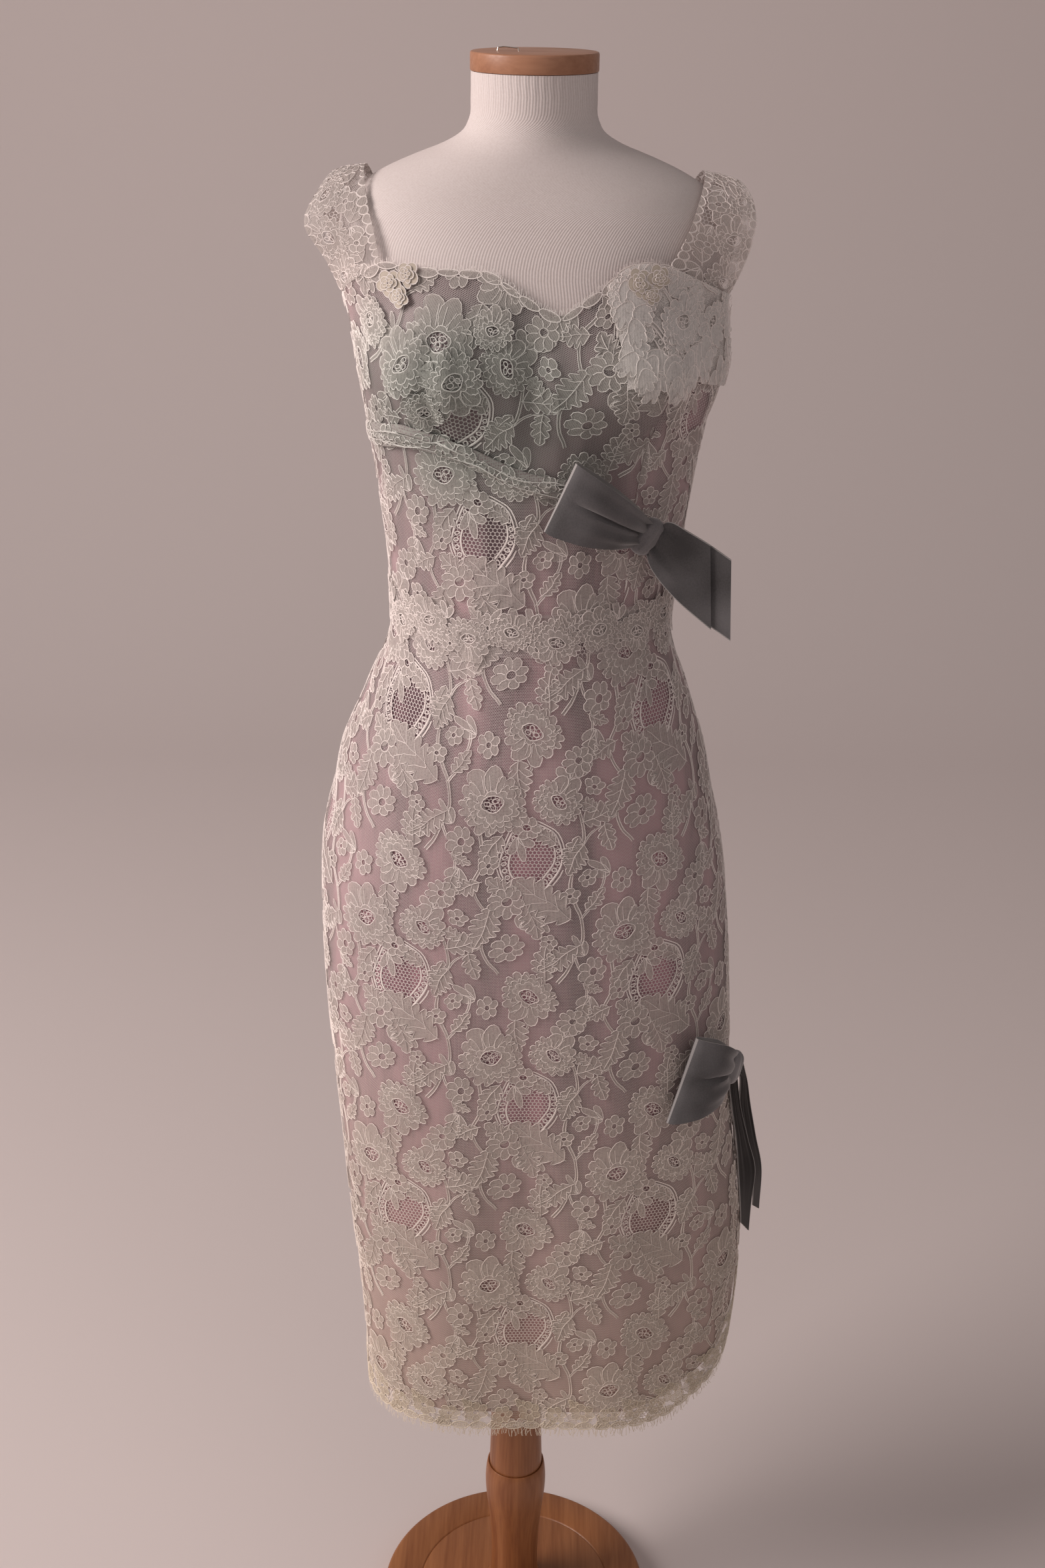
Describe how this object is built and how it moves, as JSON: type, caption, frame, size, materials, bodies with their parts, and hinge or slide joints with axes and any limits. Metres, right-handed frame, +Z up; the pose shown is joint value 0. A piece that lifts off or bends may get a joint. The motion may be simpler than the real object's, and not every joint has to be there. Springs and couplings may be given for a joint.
{
  "type": "wiggle dress on a limbless dress form",
  "caption": "Fitted lace dress over satin with draped bust, shoulder straps, rounded side slit and velvet bows, on a limbless form with a turned wooden stand",
  "frame": {"origin": "on the floor, at the middle of the round base, under the post", "axes": "+Z up, front of the dress toward -Y, +X toward the wearer's left, where the slit and the bows are"},
  "size_m": [0.3988, 0.266, 1.5051],
  "materials": {
    "lace": "matte lace",
    "satin": "soft satin",
    "velvet": "velvet with a pale satin edge",
    "jersey": "matte rib knit",
    "zip_cloth": "matte",
    "wood": "clear satin finish",
    "cap_wood": "satin",
    "metal": "polished"
  },
  "bodies": {
    "stand": {"stand_base": "wood", "stand_column": "wood"},
    "form": {"form_post": "wood", "form_torso": "jersey", "neck_cap": "cap_wood", "cap_staple": "metal", "bodice_lining_front": "satin", "bodice_lining_back_left": "satin", "bodice_lining_back_right": "satin", "skirt_lining_front": "satin", "skirt_lining_back_left": "satin", "skirt_lining_back_right": "satin", "bust_panel": "lace", "midriff_panel": "lace", "bodice_side_left": "lace", "bodice_back_left": "lace", "bodice_back_right": "lace", "cup_overlay_left": "lace", "bust_drape_fold": "lace", "strap_left": "lace", "strap_right": "lace", "skirt_front": "lace", "skirt_back_left": "lace", "skirt_back_right": "lace", "waist_band_front": "lace", "waist_band_back_left": "lace", "waist_band_back_right": "lace", "hem_fringe_front": "lace", "hem_fringe_back_left": "lace", "hem_fringe_back_right": "lace", "zip_tape": "zip_cloth", "zip_slider": "metal", "top_bow_loop": "velvet", "top_bow_knot": "velvet", "top_bow_tail_front": "velvet", "top_bow_tail_back": "velvet", "slit_bow_loop": "velvet", "slit_bow_knot": "velvet", "slit_bow_tail_front": "velvet", "slit_bow_tail_back": "velvet"},
    "zip_pull": {"zip_pull": "metal"}
  },
  "joints": [
    {"name": "form_turn", "type": "hinge", "parent": "stand", "child": "form", "pos_m": [0, 0, 0.168], "axis": [0, 0, 1], "continuous": true},
    {"name": "zip_pull_swing", "type": "hinge", "parent": "form", "child": "zip_pull", "pos_m": [0, 0.1116, 1.285], "axis": [1, 0, 0], "range_deg": [0, 150]}
  ]
}
